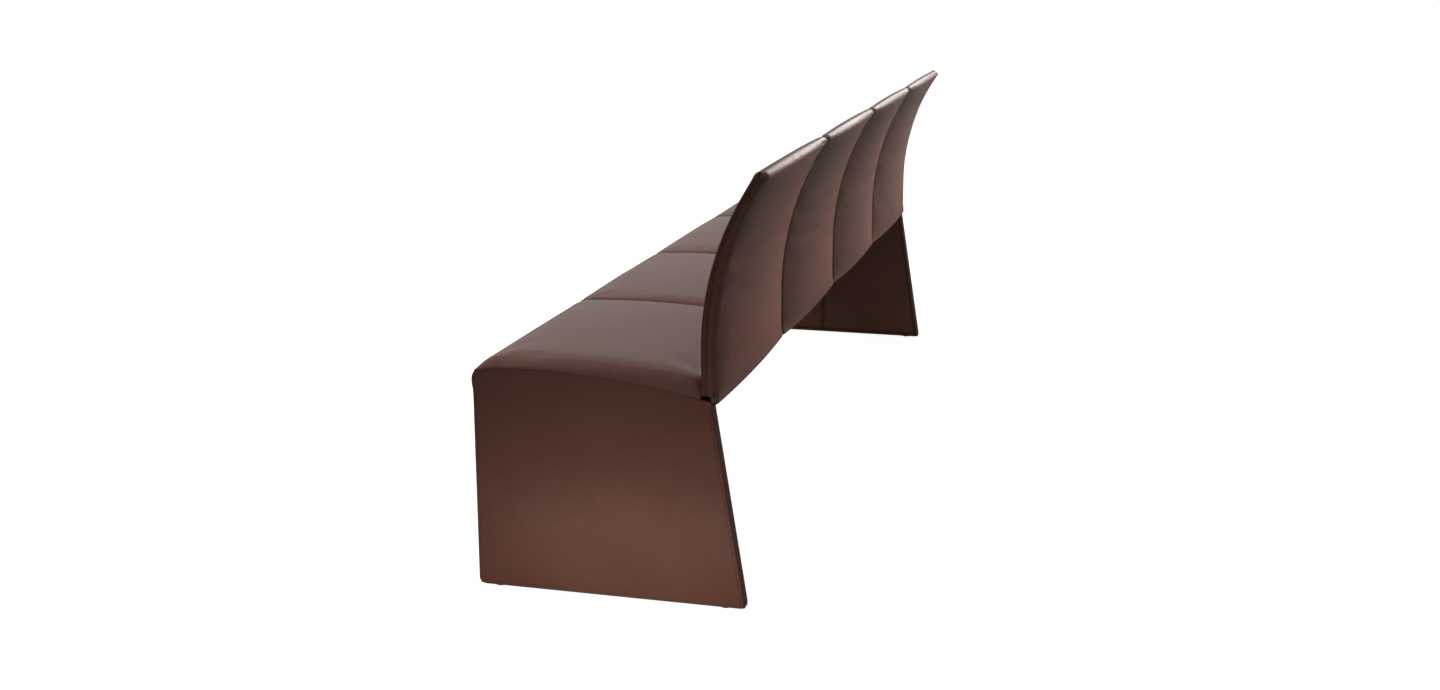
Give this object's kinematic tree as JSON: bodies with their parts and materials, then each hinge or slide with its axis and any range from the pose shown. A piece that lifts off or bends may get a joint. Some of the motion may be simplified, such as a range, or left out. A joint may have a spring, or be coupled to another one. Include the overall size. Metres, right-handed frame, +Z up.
{
  "type": "upholstered bench with backrest",
  "caption": "Long leather dining bench on two full-height end panels, with a sectioned seat and a curved backrest with deep seams.",
  "frame": {"origin": "on the floor under the middle of the bench's box", "axes": "+X along the bench, the front faces -Y, +Z up"},
  "size_m": [2.4, 0.598, 0.864],
  "materials": {
    "seat_leather": "satin, fine grain",
    "back_leather": "satin, fine grain",
    "end_leather": "satin, fine grain",
    "plywood": "raw",
    "foam": "open-cell foam",
    "wadding": "soft",
    "dust_cloth": "matt non-woven",
    "frame_steel": "black powder coat",
    "zinc_steel": "zinc plated",
    "glide_plastic": "matt"
  },
  "bodies": {
    "root": {"end_core_right": "plywood", "end_pad_outer_right": "wadding", "end_pad_inner_right": "wadding", "end_cover_outer_right": "end_leather", "end_cover_inner_front_right": "end_leather", "end_cover_inner_rear_right": "end_leather", "end_plate_right": "frame_steel", "end_core_left": "plywood", "end_pad_outer_left": "wadding", "end_pad_inner_left": "wadding", "end_cover_outer_left": "end_leather", "end_cover_inner_front_left": "end_leather", "end_cover_inner_rear_left": "end_leather", "end_plate_left": "frame_steel", "end_inserts": "zinc_steel", "glide_sockets": "zinc_steel", "front_rail": "frame_steel", "rear_rail": "frame_steel", "cross_tube_1": "frame_steel", "cross_tube_2": "frame_steel", "cross_tube_3": "frame_steel", "under_seat_cover": "dust_cloth", "seat_board_1": "plywood", "seat_board_2": "plywood", "seat_board_3": "plywood", "seat_board_4": "plywood", "seat_pad_1": "foam", "seat_pad_2": "foam", "seat_pad_3": "foam", "seat_pad_4": "foam", "seat_cover_1": "seat_leather", "seat_cover_2": "seat_leather", "seat_cover_3": "seat_leather", "seat_cover_4": "seat_leather", "back_shell": "plywood", "back_brackets": "frame_steel", "back_front_pad": "foam", "back_rear_pad": "foam", "back_front_cover_1": "back_leather", "back_front_cover_2": "back_leather", "back_front_cover_3": "back_leather", "back_front_cover_4": "back_leather", "back_rear_cover_1": "back_leather", "back_rear_cover_2": "back_leather", "back_rear_cover_3": "back_leather", "back_rear_cover_4": "back_leather", "back_end_strip_right": "back_leather", "back_end_strip_left": "back_leather", "frame_bolts": "zinc_steel", "wood_screws": "zinc_steel"},
    "glide_pad_1": {"glide_pad_1": "glide_plastic"},
    "glide_stem_1": {"glide_stem_1": "zinc_steel"},
    "glide_pad_2": {"glide_pad_2": "glide_plastic"},
    "glide_stem_2": {"glide_stem_2": "zinc_steel"},
    "glide_pad_3": {"glide_pad_3": "glide_plastic"},
    "glide_stem_3": {"glide_stem_3": "zinc_steel"},
    "glide_pad_4": {"glide_pad_4": "glide_plastic"},
    "glide_stem_4": {"glide_stem_4": "zinc_steel"}
  },
  "joints": [
    {"name": "glide_drop_1", "type": "slide", "parent": "root", "child": "glide_pad_1", "axis": [0, 0, -1], "range_m": [0, 0.0075]},
    {"name": "glide_turn_1", "type": "hinge", "parent": "glide_pad_1", "child": "glide_stem_1", "pos_m": [1.184, -0.25696, 0.02], "axis": [0, 0, -1], "range_deg": [0, 2160]},
    {"name": "glide_drop_2", "type": "slide", "parent": "root", "child": "glide_pad_2", "axis": [0, 0, -1], "range_m": [0, 0.0075]},
    {"name": "glide_turn_2", "type": "hinge", "parent": "glide_pad_2", "child": "glide_stem_2", "pos_m": [1.184, 0.21604, 0.02], "axis": [0, 0, -1], "range_deg": [0, 2160]},
    {"name": "glide_drop_3", "type": "slide", "parent": "root", "child": "glide_pad_3", "axis": [0, 0, -1], "range_m": [0, 0.0075]},
    {"name": "glide_turn_3", "type": "hinge", "parent": "glide_pad_3", "child": "glide_stem_3", "pos_m": [-1.184, -0.25696, 0.02], "axis": [0, 0, -1], "range_deg": [0, 2160]},
    {"name": "glide_drop_4", "type": "slide", "parent": "root", "child": "glide_pad_4", "axis": [0, 0, -1], "range_m": [0, 0.0075]},
    {"name": "glide_turn_4", "type": "hinge", "parent": "glide_pad_4", "child": "glide_stem_4", "pos_m": [-1.184, 0.21604, 0.02], "axis": [0, 0, -1], "range_deg": [0, 2160]}
  ],
  "couplings": [
    {"joint": "glide_drop_1", "follows": "glide_turn_1", "m_per_rad": 0.00019894},
    {"joint": "glide_drop_2", "follows": "glide_turn_2", "m_per_rad": 0.00019894},
    {"joint": "glide_drop_3", "follows": "glide_turn_3", "m_per_rad": 0.00019894},
    {"joint": "glide_drop_4", "follows": "glide_turn_4", "m_per_rad": 0.00019894}
  ]
}
